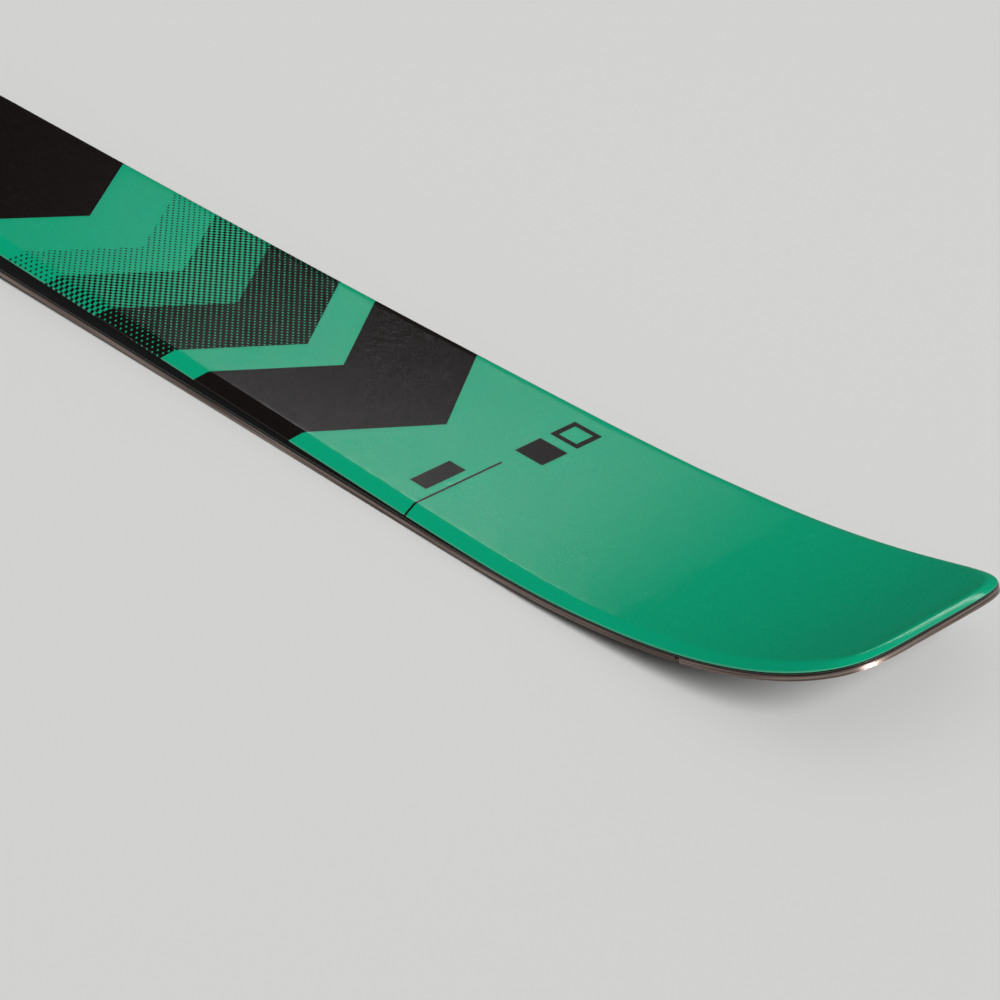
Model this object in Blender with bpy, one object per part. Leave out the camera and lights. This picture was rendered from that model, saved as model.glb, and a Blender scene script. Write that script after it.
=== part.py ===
"""Freestyle twin-tip ski, as the pressed sandwich that it is.

Every layer is drawn in the flat press blank: s runs along the base from the middle
of the ski, y across it and t up from the base. bend() then lays the blank on the
curve of the mould. The ski is the same at both ends and on both sides.
World frame: +X to the tip, +Y across, +Z up, the contact lines of the base at Z = 0.
"""
import math

import bmesh
import bpy
import numpy as np

# Plan shape of the blank, metres.
LENGTH = 1.680             # straight from end to end
TIP_WIDTH = 0.113          # widest, at tip and tail
WAIST_WIDTH = 0.083
SHOVEL_LENGTH = 0.118      # widest point to the end, along the base
SHOVEL_BLEND = 0.030       # where the sidecut eases into the widest point
SQUARE_ALONG = 3.5         # exponents of the end's outline: the larger, the squarer
SQUARE_ACROSS = 5.6

# Side profile of the mould.
RISE_LENGTH = 0.268        # contact line to the end
TIP_RISE = 0.033
RISE_POWER = 4.2           # how late the rise sets in
CAMBER = 0.004             # base height in the middle, unloaded

# Thickness over all, measured from the ends along the base.
TIP_THICKNESS = 0.0054
CENTRE_THICKNESS = 0.0136
TIP_EVEN = 0.104           # length of even thickness at each end
TAPER_LENGTH = 0.428       # planed taper from there to the full thickness

# Layers, from the base up.
BASE_SHEET = 0.0012
TANG_THICKNESS = 0.0005
FOIL = 0.0002
LOWER_LAMINATE = 0.0004
UPPER_LAMINATE = 0.0004
TOPSHEET = 0.0005
TOPSHEET_LIP = 0.00045     # height of the topsheet's cut edge on the sidewall
BOND = 0.00025             # resin line between two layers
GLUE = 0.0003              # upright joint between two pieces side by side

# Steel edge: a bead with a toothed tang that anchors it in the sandwich.
BEAD_WIDTH = 0.0021
BEAD_CHAMFER = 0.0002
TANG_ROOT = 0.0010         # unbroken strip of the tang beside the bead
TANG_NECK = 0.0018         # narrow part of each tooth
TANG_HEAD = 0.0027         # wide part of each tooth
TANG_PITCH = 0.034
TIP_TANG_PITCH = 0.016
KEY_WIDTH = 0.0064         # opening between two necks
SLOT_WIDTH = 0.0024        # opening between two heads
EDGE_JOINT_SETBACK = 0.070  # butt joint of the edge segments, from the end
EDGE_JOINT_GAP = 0.0016

# Sidewall, shoulder and core.
SIDEWALL_WIDTH = 0.0080
SIDEWALL_SLANT = 10.0      # degrees from upright
BEVEL_WIDTH = 0.0047
BEVEL_DROP = 0.0031
CREST_CHAMFER = 0.0008     # length of the flat on each side of the shoulder's crest
FOOT_HEIGHT = 0.0003       # least height of the sidewall and spacer under the shoulder
LAMINATE_SETBACK = 0.0003  # upper laminate's edge behind the shoulder's crest
SPACER_LENGTH = 0.135      # tip and tail spacer, from the end
FOIL_SETBACK = 0.205       # where the rubber foil stops, from the end
FOIL_RAMP = 0.015          # length in which the layers above come down past the foil
STRAIGHT_STRIPS = 7
OUTER_STRIP_AT_WAIST = 0.0040
STRINGER_STRIP = 3         # counted from each side of the core
STRINGER_THICKNESS = 0.0003
STRINGER_SETBACK = 0.190   # from the end
PAD_LENGTH = 0.300
PAD_THICKNESS = 0.0006
PLATE_THICKNESS = 0.0004

# Facets.
LEVEL_FACET = 0.100        # flat facet in the middle
MIDDLE_STEP = 0.100
RISE_STEP = 0.016
SHOVEL_STEP = 0.0115
CORNER_START = 0.86        # share of the shovel's length at which the corner steps begin
CORNER_STEPS = 7
SIDE_TOOTH_STEPS = 1       # facets of the edge per tooth: between the contact lines
RISE_TOOTH_STEPS = 2       # beyond them
NOSE_TOOTH_STEPS = 3       # in the end segments
SHARP_ANGLE = 30.0         # degrees between faces that are shaded apart

# Sampling of the curves.
CURVE_SAMPLES = 4001
RAIL_SAMPLES = 1201
CORNER_SAMPLES = 120
STEP_SLACK = 1e-6          # share of a step that may be missing
PROBE = 1e-6
WELD = 1e-6

# Looks: screen colour, roughness and, for metal, its share.
BASE_LOOK = ((18, 18, 19), 0.42)
STEEL_LOOK = ((150, 142, 134), 0.34, 1.0)
FLEECE_LOOK = ((205, 203, 190), 0.9)
FOIL_LOOK = ((14, 14, 15), 0.8)
LAMINATE_LOOK = ((46, 48, 44), 0.45)
LIGHT_WOOD_LOOK = ((222, 196, 150), 0.6)
DARK_WOOD_LOOK = ((188, 148, 98), 0.6)
SIDEWALL_LOOK = ((10, 10, 11), 0.3)
SPACER_LOOK = ((16, 16, 17), 0.5)
CARBON_LOOK = ((24, 24, 26), 0.35)
RUBBER_LOOK = ((30, 30, 31), 0.85)
TOPSHEET_LOOK = ((20, 150, 112), 0.4)

# Heights that follow from the layers.
EDGE_HEIGHT = BASE_SHEET + BOND + TANG_THICKNESS
TANG_REACH = BEAD_WIDTH + TANG_ROOT + TANG_NECK + TANG_HEAD
PAD_RECESS = PAD_THICKNESS + PLATE_THICKNESS + 2 * BOND
STRINGER_RECESS = STRINGER_THICKNESS + BOND


def mould(x):
    """Height and slope of the base curve at x."""
    contact = LENGTH / 2 - RISE_LENGTH
    if abs(x) > contact:
        u = (abs(x) - contact) / RISE_LENGTH
        slope = TIP_RISE * RISE_POWER * u ** (RISE_POWER - 1) / RISE_LENGTH
        return TIP_RISE * u ** RISE_POWER, math.copysign(slope, x)
    u = x / contact
    return CAMBER * (1 - u * u) ** 2, -4 * CAMBER * u * (1 - u * u) / contact


CURVE_X = np.linspace(-LENGTH / 2, LENGTH / 2, CURVE_SAMPLES)
CURVE_STEP = np.hypot(1, [mould(x)[1] for x in (CURVE_X[1:] + CURVE_X[:-1]) / 2])
CURVE_S = np.concatenate([[0], np.cumsum(CURVE_STEP * np.diff(CURVE_X))])
CURVE_S = CURVE_S - CURVE_S[-1] / 2

END = float(CURVE_S[-1])
WIDEST = END - SHOVEL_LENGTH
CONTACT = float(np.interp(LENGTH / 2 - RISE_LENGTH, CURVE_X, CURVE_S))
JOINT = END - EDGE_JOINT_SETBACK
CORE_END = END - SPACER_LENGTH
FOIL_END = END - FOIL_SETBACK
STRINGER_END = END - STRINGER_SETBACK
TAPER_OUTER = END - TIP_EVEN
TAPER_INNER = TAPER_OUTER - TAPER_LENGTH
PAD_END = PAD_LENGTH / 2


def bend(s, y, t):
    """World point of the blank's point (s, y, t)."""
    x = float(np.interp(s, CURVE_S, CURVE_X))
    z, slope = mould(x)
    run = math.hypot(1, slope)
    return (x - t * slope / run, y, z + t / run)


def half_width(s):
    """Half the width over the steel edges, and its slope along s."""
    s_out = abs(s)
    depth = (TIP_WIDTH - WAIST_WIDTH) / 2
    eased = WIDEST - SHOVEL_BLEND
    bow = depth / (eased * WIDEST)
    if s_out <= eased:
        width, slope = WAIST_WIDTH / 2 + bow * s_out ** 2, 2 * bow * s_out
    elif s_out <= WIDEST:
        over = s_out - eased
        width = WAIST_WIDTH / 2 + bow * eased ** 2 + 2 * bow * eased * (over - over ** 2 / (2 * SHOVEL_BLEND))
        slope = 2 * bow * eased * (1 - over / SHOVEL_BLEND)
    else:
        u = min((s_out - WIDEST) / SHOVEL_LENGTH, 1)
        width = TIP_WIDTH / 2 * (1 - u ** SQUARE_ALONG) ** (1 / SQUARE_ACROSS)
        slope = None
    return width, slope


def outline_point(s, width=None):
    """Point of the outline on the +Y side and its unit normal towards the middle."""
    if width is None:
        width = half_width(s)[0]
    slope = half_width(s)[1]
    if slope is None:
        along = SQUARE_ALONG * ((abs(s) - WIDEST) / SHOVEL_LENGTH) ** (SQUARE_ALONG - 1) / SHOVEL_LENGTH
        across = SQUARE_ACROSS * (2 * width / TIP_WIDTH) ** (SQUARE_ACROSS - 1) / (TIP_WIDTH / 2)
        normal = (-along, -across)
    else:
        normal = (slope, -1.0)
    size = math.hypot(*normal)
    return (s, width, math.copysign(1, s) * normal[0] / size, normal[1] / size)


def corner_points(steps):
    """Outline from the start of the corner to the very end, in even steps of its angle."""
    first = math.asin(CORNER_START ** (SQUARE_ALONG / 2))
    points = []
    for k in range(steps + 1):
        angle = first + (math.pi / 2 - first) * k / steps
        s = WIDEST + SHOVEL_LENGTH * math.sin(angle) ** (2 / SQUARE_ALONG)
        width = TIP_WIDTH / 2 * max(math.cos(angle), 0) ** (2 / SQUARE_ACROSS)
        points.append(outline_point(s, width if k < steps else 0.0))
    return points


def filled(marks, step):
    """The marks in order, with even steps between them."""
    values = [marks[0]]
    for low, high in zip(marks, marks[1:]):
        count = max(1, math.ceil((high - low) / step - STEP_SLACK))
        values += [low + (high - low) * k / count for k in range(1, count + 1)]
    return values


def half_stations():
    """Stations from the middle to the start of the corner."""
    corner = WIDEST + CORNER_START * SHOVEL_LENGTH
    middle = sorted(m for m in (LEVEL_FACET / 2, PAD_END + GLUE, TAPER_INNER, CONTACT) if m <= CONTACT)
    rise = sorted([CONTACT, FOIL_END + GLUE, FOIL_END + GLUE + FOIL_RAMP, STRINGER_END + GLUE,
                   CORE_END, TAPER_OUTER, WIDEST])
    rise = [m for m in rise if CONTACT <= m <= WIDEST]
    values = filled(middle, MIDDLE_STEP) + filled(rise, RISE_STEP)[1:]
    return values + filled([WIDEST, corner], SHOVEL_STEP)[1:-1]


HALF = half_stations()
STATIONS = [-s for s in reversed(HALF)] + HALF


def mirrored(point):
    """The same outline point at the other end of the ski."""
    s, y, along, across = point
    return (-s, y, -along, across)


NOSE = corner_points(CORNER_STEPS)
OUTLINE = [mirrored(p) for p in reversed(NOSE)] + [outline_point(s) for s in STATIONS] + NOSE


def between(low, high, steps=()):
    """Stations from low to high as (station, probe); a step is met from both its sides."""
    inner = [s for s in STATIONS if low + WELD < s < high - WELD]
    pairs = []
    for s in [low] + inner + [high]:
        if any(abs(s - step) < WELD for step in steps):
            pairs += [(s, s - PROBE), (s, s + PROBE)]
        else:
            pairs.append((s, s))
    return pairs


def thickness(s):
    """Thickness over all."""
    share = (TAPER_OUTER - abs(s)) / (TAPER_OUTER - TAPER_INNER)
    return TIP_THICKNESS + (CENTRE_THICKNESS - TIP_THICKNESS) * min(max(share, 0), 1)


def wall_inset(t):
    """How far the slanted outer wall stands in from the steel edge at height t."""
    return max(t - EDGE_HEIGHT, 0) * math.tan(math.radians(SIDEWALL_SLANT))


def laminate_foot(s):
    """Underside of the lower laminate over the edges: raised where the foil lies under it."""
    share = (FOIL_END + GLUE + FOIL_RAMP - abs(s)) / FOIL_RAMP
    return EDGE_HEIGHT + BOND + (FOIL + BOND) * min(max(share, 0), 1)


def laminate_top(s):
    return laminate_foot(s) + LOWER_LAMINATE


def core_bottom(s):
    return laminate_top(s) + BOND


def core_top(s):
    return thickness(s) - TOPSHEET - UPPER_LAMINATE - 2 * BOND


def lip_height(s):
    """Height of the shoulder's lower edge."""
    return max(thickness(s) - BEVEL_DROP, core_bottom(s) + TOPSHEET_LIP)


def crest_inset(s):
    """Inset of the shoulder's upper edge."""
    return wall_inset(lip_height(s)) + BEVEL_WIDTH


def crest_low(s):
    """Outer end of the flat on the crest, down the shoulder."""
    drop = thickness(s) - lip_height(s)
    share = CREST_CHAMFER / math.hypot(BEVEL_WIDTH, drop)
    return crest_inset(s) - share * BEVEL_WIDTH, thickness(s) - share * drop


def lip_under(s):
    """Inset and height of the lower corner of the topsheet's cut edge."""
    low = lip_height(s) - TOPSHEET_LIP
    return wall_inset(low), low


def under_slope(s):
    """Slope of the topsheet's underside over the shoulder."""
    inset, low = lip_under(s)
    return (thickness(s) - TOPSHEET - low) / (crest_inset(s) - inset)


def foot_setback(s):
    """How far the sidewall's foot steps in where the lip comes down to the laminate."""
    low = lip_under(s)[1]
    return max(core_bottom(s) + FOOT_HEIGHT + BOND - low, 0) / under_slope(s)


def foot_low(s):
    return wall_inset(core_bottom(s)) + foot_setback(s), core_bottom(s)


def foot_high(s):
    inset, low = lip_under(s)
    back = foot_setback(s)
    return inset + back, low + back * under_slope(s) - BOND


def shoulder(s):
    """Where the sidewall's bevel under the topsheet meets the core's level."""
    inset, low = lip_under(s)
    return inset + (core_top(s) + BOND - low) / under_slope(s), core_top(s)


def srgb(red, green, blue):
    """Linear colour of a screen colour given from 0 to 255."""
    linear = []
    for value in (red, green, blue):
        c = value / 255
        linear.append(c / 12.92 if c <= 0.04045 else ((c + 0.055) / 1.055) ** 2.4)
    return (*linear, 1.0)


def make_material(name, colour, roughness, metallic=0.0):
    material = bpy.data.materials.new(name)
    material.use_nodes = True
    shader = material.node_tree.nodes["Principled BSDF"]
    shader.inputs["Base Color"].default_value = srgb(*colour)
    shader.inputs["Roughness"].default_value = roughness
    shader.inputs["Metallic"].default_value = metallic
    return material


def finish(name, bm, look):
    """Close the mesh, turn its faces out and put it in the scene with its material."""
    bmesh.ops.remove_doubles(bm, verts=bm.verts, dist=WELD)
    bmesh.ops.recalc_face_normals(bm, faces=bm.faces)
    mesh = bpy.data.meshes.new(name)
    bm.to_mesh(mesh)
    bm.free()
    mesh.shade_smooth()
    mesh.set_sharp_from_angle(angle=math.radians(SHARP_ANGLE))
    piece = bpy.data.objects.new(name, mesh)
    piece.data.materials.append(make_material(name, *look))
    bpy.context.scene.collection.objects.link(piece)
    return piece


def loft(name, sections, look):
    """Solid through closed sections with equally many corners."""
    bm = bmesh.new()
    rows = [[bm.verts.new(p) for p in section] for section in sections]
    for low, high in zip(rows, rows[1:]):
        for j, vert in enumerate(low):
            k = (j + 1) % len(low)
            bm.faces.new((vert, low[k], high[k], high[j]))
    for row in (rows[0], rows[-1]):
        if max(v.co.y for v in row) - min(v.co.y for v in row) > WELD:
            bm.faces.new(row)
    return finish(name, bm, look)


def plate(name, points, levels, look):
    """Layer along the outline's points. Each level gives (inset, height) at s, from below up."""
    sections = []
    for s, y, along, across in points:
        side = []
        for level in levels:
            inset = level(s)[0]
            s_in = s + inset * along
            side.append((s_in, max(y + inset * across, 0), level(s_in)[1]))
        right = [bend(*p) for p in side]
        left = [bend(p[0], -p[1], p[2]) for p in reversed(side)]
        sections.append(right + left)
    return loft(name, sections, look)


def bar(name, pairs, profile, look):
    """Bar along the stations; profile gives its section's corners (y, t) at a probe."""
    return loft(name, [[bend(s, y, t) for y, t in profile(probe)] for s, probe in pairs], look)


def level(inset, height):
    """Level of a plate from two values that are numbers or functions of s."""
    def pick(s):
        i = inset(s) if callable(inset) else inset
        return i, (height(s) if callable(height) else height)
    return pick


def build_base():
    inset = BEAD_WIDTH + GLUE
    return plate("base", OUTLINE, [level(inset, 0.0), level(inset, BASE_SHEET)], BASE_LOOK)


def build_fleece():
    inset = TANG_REACH + GLUE
    levels = [level(inset, BASE_SHEET + BOND), level(inset, EDGE_HEIGHT)]
    return plate("fleece_ply", OUTLINE, levels, FLEECE_LOOK)


def build_foil(name, side):
    low = EDGE_HEIGHT + BOND

    def profile(s):
        outer = half_width(s)[0] - wall_inset(low)
        inner = half_width(s)[0] - TANG_REACH
        return [(side * outer, low), (side * inner, low), (side * inner, low + FOIL),
                (side * outer, low + FOIL)]
    return bar(name, between(-FOIL_END, FOIL_END), profile, FOIL_LOOK)


def build_lower_laminate():
    key = TANG_REACH + GLUE
    low = EDGE_HEIGHT + BOND
    levels = [level(key, low), level(key, laminate_foot),
              level(lambda s: wall_inset(laminate_foot(s)), laminate_foot),
              level(lambda s: wall_inset(laminate_top(s)), laminate_top)]
    return plate("lower_laminate", OUTLINE, levels, LAMINATE_LOOK)


def build_upper_laminate():
    def inset(s):
        return crest_inset(s) + LAMINATE_SETBACK

    def top(s):
        return thickness(s) - TOPSHEET - BOND
    levels = [level(inset, lambda s: top(s) - UPPER_LAMINATE), level(inset, top)]
    return plate("upper_laminate", OUTLINE, levels, LAMINATE_LOOK)


def build_topsheet():
    levels = [level(crest_inset, lambda s: thickness(s) - TOPSHEET),
              lip_under,
              level(lambda s: wall_inset(lip_height(s)), lip_height),
              crest_low,
              level(lambda s: crest_inset(s) + CREST_CHAMFER, thickness)]
    return plate("topsheet", OUTLINE, levels, TOPSHEET_LOOK)


def build_spacer(name, end):
    rear = outline_point(CORE_END + GLUE)
    points = [(rear[0], rear[1], 0.0, -1.0)]
    points += [outline_point(s) for s in STATIONS if s > rear[0] + WELD] + NOSE
    if end < 0:
        points = [mirrored(p) for p in reversed(points)]
    return plate(name, points, [foot_low, foot_high, shoulder], SPACER_LOOK)


def build_sidewall(name, side):
    def profile(s):
        width = half_width(s)[0]
        corners = [foot_low(s), (SIDEWALL_WIDTH, core_bottom(s)), (SIDEWALL_WIDTH, core_top(s)),
                   shoulder(s), foot_high(s)]
        return [(side * (width - inset), t) for inset, t in corners]
    return bar(name, between(-CORE_END, CORE_END), profile, SIDEWALL_LOOK)


def strip_span(index, s):
    """Two sides of core strip 1, 2, ... at s, from -Y to +Y."""
    inner = WAIST_WIDTH / 2 - SIDEWALL_WIDTH - OUTER_STRIP_AT_WAIST - 2 * GLUE
    width = (2 * inner - (STRAIGHT_STRIPS - 1) * GLUE) / STRAIGHT_STRIPS
    outer = half_width(s)[0] - SIDEWALL_WIDTH - GLUE
    if index == 1:
        return -outer, -inner - GLUE
    if index == STRAIGHT_STRIPS + 2:
        return inner + GLUE, outer
    low = -inner + (index - 2) * (width + GLUE)
    return low, low + width


def stringer_strips():
    return (STRINGER_STRIP, STRAIGHT_STRIPS + 3 - STRINGER_STRIP)


def build_core_strip(index):
    """Wood strip, lowered under the pad and raised over a stringer."""
    pad = PAD_END + GLUE
    stringer = STRINGER_END + GLUE if index in stringer_strips() else 0.0

    def profile(s):
        low = core_bottom(s) + (STRINGER_RECESS if abs(s) < stringer else 0)
        high = core_top(s) - (PAD_RECESS if abs(s) < pad else 0)
        left, right = strip_span(index, s)
        return [(left, low), (right, low), (right, high), (left, high)]
    steps = [-pad, pad] + ([-stringer, stringer] if stringer else [])
    look = LIGHT_WOOD_LOOK if index % 2 else DARK_WOOD_LOOK
    return bar(f"core_strip_{index}", between(-CORE_END, CORE_END, steps), profile, look)


def build_stringer(name, index):
    def profile(s):
        low = core_bottom(s)
        left, right = strip_span(index, s)
        return [(left, low), (right, low), (right, low + STRINGER_THICKNESS),
                (left, low + STRINGER_THICKNESS)]
    return bar(name, between(-STRINGER_END, STRINGER_END), profile, CARBON_LOOK)


def build_inlay(name, lift, height, look):
    """Flat sheet in the recess under the bindings, lift above the recess's floor."""
    half = WAIST_WIDTH / 2 - SIDEWALL_WIDTH - GLUE

    def profile(s):
        low = core_top(s) - PAD_RECESS + lift
        return [(-half, low), (half, low), (half, low + height), (-half, low + height)]
    return bar(name, between(-PAD_END, PAD_END), profile, look)


def rail(low, high):
    """Fine polyline of the outline on the +Y side from low to high, as outline points."""
    corner = WIDEST + CORNER_START * SHOVEL_LENGTH
    fine = corner_points(CORNER_SAMPLES)
    shares = [k / RAIL_SAMPLES for k in range(1, RAIL_SAMPLES)]
    points = [mirrored(p) for p in reversed(fine)]
    points += [outline_point(-corner + 2 * corner * share) for share in shares] + fine
    inside = [p for p in points if low < p[0] < high]
    first = [outline_point(low)] if abs(low) < END else []
    last = [outline_point(high)] if abs(high) < END else [p for p in points if p[0] >= high][:1]
    return first + inside + last


class Path:
    """Polyline of outline points that is read by its length along the outline."""

    def __init__(self, points):
        self.points = np.array(points)
        steps = np.hypot(*np.diff(self.points[:, :2], axis=0).T)
        self.marks = np.concatenate([[0], np.cumsum(steps)])
        self.length = float(self.marks[-1])

    def place(self, u, inset, t):
        """World point at length u, inset from the outline, at height t."""
        s, y, along, across = (float(np.interp(u, self.marks, c)) for c in self.points.T)
        size = math.hypot(along, across)
        return bend(s + inset * along / size, y + inset * across / size, t)


def tooth_outline(start, stop, chords):
    """Free edge of the tang over one tooth, as (length, inset), from stop back to start."""
    root = BEAD_WIDTH + TANG_ROOT
    neck = root + TANG_NECK
    head = TANG_REACH
    key = KEY_WIDTH / 2
    slot = SLOT_WIDTH / 2
    side = [(0, root), (key, root), (key, neck), (slot, neck), (slot, head)]
    far = [(stop - u, inset) for u, inset in side]
    front = [(stop - slot + (start - stop + 2 * slot) * k / chords, head) for k in range(1, chords)]
    near = [(start + u, inset) for u, inset in reversed(side)]
    return far + front + near


def build_edge(name, path, pitch, chords_at):
    """Steel edge: bead and toothed tang in one piece, tooth by tooth along the path."""
    bm = bmesh.new()
    teeth = max(1, round(path.length / pitch))
    under = EDGE_HEIGHT - TANG_THICKNESS

    def row(corners):
        return [bm.verts.new(path.place(*corner)) for corner in corners]

    def strip(first, second):
        for a, b, c, d in zip(first, first[1:], second[1:], second):
            bm.faces.new((a, b, c, d))

    for tooth in range(teeth):
        start = path.length * tooth / teeth
        stop = path.length * (tooth + 1) / teeth
        chords = chords_at((start + stop) / 2)
        lengths = [start + (stop - start) * k / chords for k in range(chords + 1)]
        outer_low = row([(u, 0.0, 0.0) for u in lengths])
        outer_high = row([(u, 0.0, EDGE_HEIGHT - BEAD_CHAMFER) for u in lengths])
        crest = row([(u, BEAD_CHAMFER, EDGE_HEIGHT) for u in lengths])
        inner_low = row([(u, BEAD_WIDTH, 0.0) for u in lengths])
        inner_high = row([(u, BEAD_WIDTH, under) for u in lengths])
        free = tooth_outline(start, stop, chords)
        top = row([(u, inset, EDGE_HEIGHT) for u, inset in free])
        bottom = row([(u, inset, under) for u, inset in free])
        strip(outer_low, outer_high)
        strip(outer_high, crest)
        strip(inner_low, outer_low)
        strip(inner_high, inner_low)
        strip(top, bottom)
        bm.faces.new(crest + top)
        bm.faces.new(inner_high + bottom)
        if tooth == 0:
            bm.faces.new((outer_low[0], outer_high[0], crest[0], top[-1], bottom[-1],
                          inner_high[0], inner_low[0]))
        if tooth == teeth - 1:
            bm.faces.new((outer_low[-1], outer_high[-1], crest[-1], top[0], bottom[0],
                          inner_high[-1], inner_low[-1]))
    return finish(name, bm, STEEL_LOOK)


def across_middle(point):
    """The same outline point on the other side of the ski."""
    s, y, along, across = point
    return (s, -y, along, -across)


def build_side_edge(name, side):
    reach = JOINT - EDGE_JOINT_GAP / 2
    points = rail(-reach, reach)
    if side < 0:
        points = [across_middle(p) for p in points]
    path = Path(points)

    def chords_at(u):
        s = float(np.interp(u, path.marks, path.points[:, 0]))
        return RISE_TOOTH_STEPS if abs(s) > CONTACT else SIDE_TOOTH_STEPS
    return build_edge(name, path, TANG_PITCH, chords_at)


def build_end_edge(name, end):
    points = rail(JOINT + EDGE_JOINT_GAP / 2, END)
    points += [across_middle(p) for p in reversed(points[:-1])]
    if end < 0:
        points = [mirrored(p) for p in points]
    return build_edge(name, Path(points), TIP_TANG_PITCH, lambda u: NOSE_TOOTH_STEPS)


def clear_scene():
    for piece in list(bpy.data.objects):
        bpy.data.objects.remove(piece, do_unlink=True)


def main():
    clear_scene()
    build_base()
    build_side_edge("edge_left", 1)
    build_side_edge("edge_right", -1)
    build_end_edge("edge_tip", 1)
    build_end_edge("edge_tail", -1)
    build_fleece()
    build_foil("rubber_foil_left", 1)
    build_foil("rubber_foil_right", -1)
    build_lower_laminate()
    for index in range(1, STRAIGHT_STRIPS + 3):
        build_core_strip(index)
    build_sidewall("sidewall_left", 1)
    build_sidewall("sidewall_right", -1)
    build_spacer("tip_spacer", 1)
    build_spacer("tail_spacer", -1)
    first, second = stringer_strips()
    build_stringer("carbon_stringer_right", first)
    build_stringer("carbon_stringer_left", second)
    build_inlay("stomp_pad", BOND, PAD_THICKNESS, RUBBER_LOOK)
    build_inlay("binding_plate", 2 * BOND + PAD_THICKNESS, PLATE_THICKNESS, CARBON_LOOK)
    build_upper_laminate()
    build_topsheet()


main()
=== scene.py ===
"""Looks of the freestyle twin-tip ski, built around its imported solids.

The pieces that show are lofted again from the same rules as the solids, with fine steps,
rounded corners and the print's coordinates. The layers inside keep their solids.
Lengths are in metres. In the flat press blank, s runs along the base from the middle of
the ski, y across it and t up from the base. The camera stands where the photograph's did.
"""

import math

import bmesh
import bpy
import numpy as np
from mathutils import Matrix, Vector


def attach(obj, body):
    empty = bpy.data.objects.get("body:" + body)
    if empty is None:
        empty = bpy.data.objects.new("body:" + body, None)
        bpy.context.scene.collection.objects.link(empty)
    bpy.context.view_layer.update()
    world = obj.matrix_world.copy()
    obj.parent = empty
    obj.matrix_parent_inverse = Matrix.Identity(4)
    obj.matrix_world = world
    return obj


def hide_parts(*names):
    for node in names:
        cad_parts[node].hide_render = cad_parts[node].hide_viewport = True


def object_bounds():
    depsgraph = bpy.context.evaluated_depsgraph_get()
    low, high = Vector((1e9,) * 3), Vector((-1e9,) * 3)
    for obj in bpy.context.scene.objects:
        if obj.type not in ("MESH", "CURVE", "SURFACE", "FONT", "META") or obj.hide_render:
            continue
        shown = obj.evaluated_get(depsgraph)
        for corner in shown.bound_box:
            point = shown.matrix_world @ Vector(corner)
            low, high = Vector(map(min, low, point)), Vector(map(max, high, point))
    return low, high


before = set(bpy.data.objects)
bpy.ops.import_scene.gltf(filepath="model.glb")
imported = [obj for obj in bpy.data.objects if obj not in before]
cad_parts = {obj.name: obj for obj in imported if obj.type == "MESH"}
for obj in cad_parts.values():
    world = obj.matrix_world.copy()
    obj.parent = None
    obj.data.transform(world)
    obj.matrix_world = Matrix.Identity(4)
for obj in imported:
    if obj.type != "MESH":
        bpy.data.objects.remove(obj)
CAD_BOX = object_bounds()

# Plan shape and side profile, as in the solids.
LENGTH = CAD_BOX[1].x - CAD_BOX[0].x
TIP_WIDTH = CAD_BOX[1].y - CAD_BOX[0].y
WAIST_WIDTH = 0.083
SHOVEL_LENGTH = 0.118
SHOVEL_BLEND = 0.030
SQUARE_ALONG = 3.5
SQUARE_ACROSS = 5.6
RISE_LENGTH = 0.268
TIP_RISE = 0.033
RISE_POWER = 4.2
CAMBER = 0.004
TIP_THICKNESS = 0.0054
CENTRE_THICKNESS = 0.0136
TIP_EVEN = 0.104
TAPER_LENGTH = 0.428

# Layers, from the base up.
BASE_SHEET = 0.0012
TANG_THICKNESS = 0.0005
FOIL = 0.0002
LOWER_LAMINATE = 0.0004
UPPER_LAMINATE = 0.0004
TOPSHEET = 0.0005
TOPSHEET_LIP = 0.00045
BOND = 0.00025
GLUE = 0.0003
EDGE_HEIGHT = BASE_SHEET + BOND + TANG_THICKNESS

# Steel edges.
BEAD_WIDTH = 0.0021
TANG_ROOT = 0.0010
TANG_NECK = 0.0018
TANG_HEAD = 0.0027
TANG_REACH = BEAD_WIDTH + TANG_ROOT + TANG_NECK + TANG_HEAD
TANG_PITCH = 0.034
TIP_TANG_PITCH = 0.016
KEY_WIDTH = 0.0064
SLOT_WIDTH = 0.0024
EDGE_JOINT_SETBACK = 0.070
EDGE_JOINT_GAP = 0.0016
BEAD_ROUND = 0.0003
BEAD_ROUND_STEPS = 3

# Sidewall, shoulder, film and spacers.
SIDEWALL_WIDTH = 0.0080
SIDEWALL_SLANT = 10.0
BEVEL_WIDTH = 0.0047
BEVEL_DROP = 0.0031
NOSE_BEVEL_WIDTH = 0.0031  # at both ends, where the film's bevel is narrower
NOSE_BLEND = 0.020         # length over which it narrows
NOSE_DIP = 0.00047         # how far the film's top comes down there, to stay in the solids' box
NOSE_LIP_DIP = 0.0003
NOSE_UNDER_DIP = 0.00015
FOOT_HEIGHT = 0.0003
SPACER_LENGTH = 0.135
FOIL_SETBACK = 0.205
FOIL_RAMP = 0.015
CREST_ROUND = 0.0016       # length of the rounding on each side of the shoulder's crest
LIP_ROUND = 0.00014
WALL_ROUND = 0.00012
PLATE_ROUND = 0.00008
ROUND_SHARE = 0.45         # most of a profile's side that one rounding may take
TOP_MARGIN = 0.0008        # flat strip beside the crest, which keeps the shading level
RIM_SCALE = 0.001          # height above the lip that the film's lift is given in

# Steps of the fine meshes.
LONG_STEP = 0.005
NOSE_STEP = 0.0009
CREST_STEPS = 7
SMALL_STEPS = 2
SIDE_CHORDS = 6            # facets of the steel for each tooth, along the sides
NOSE_CHORDS = 12           # and round the ends
DENSE_SAMPLES = 12001
WELD = 1e-7
SHARP_ANGLE = 38.0         # degrees between faces that are shaded apart

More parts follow.
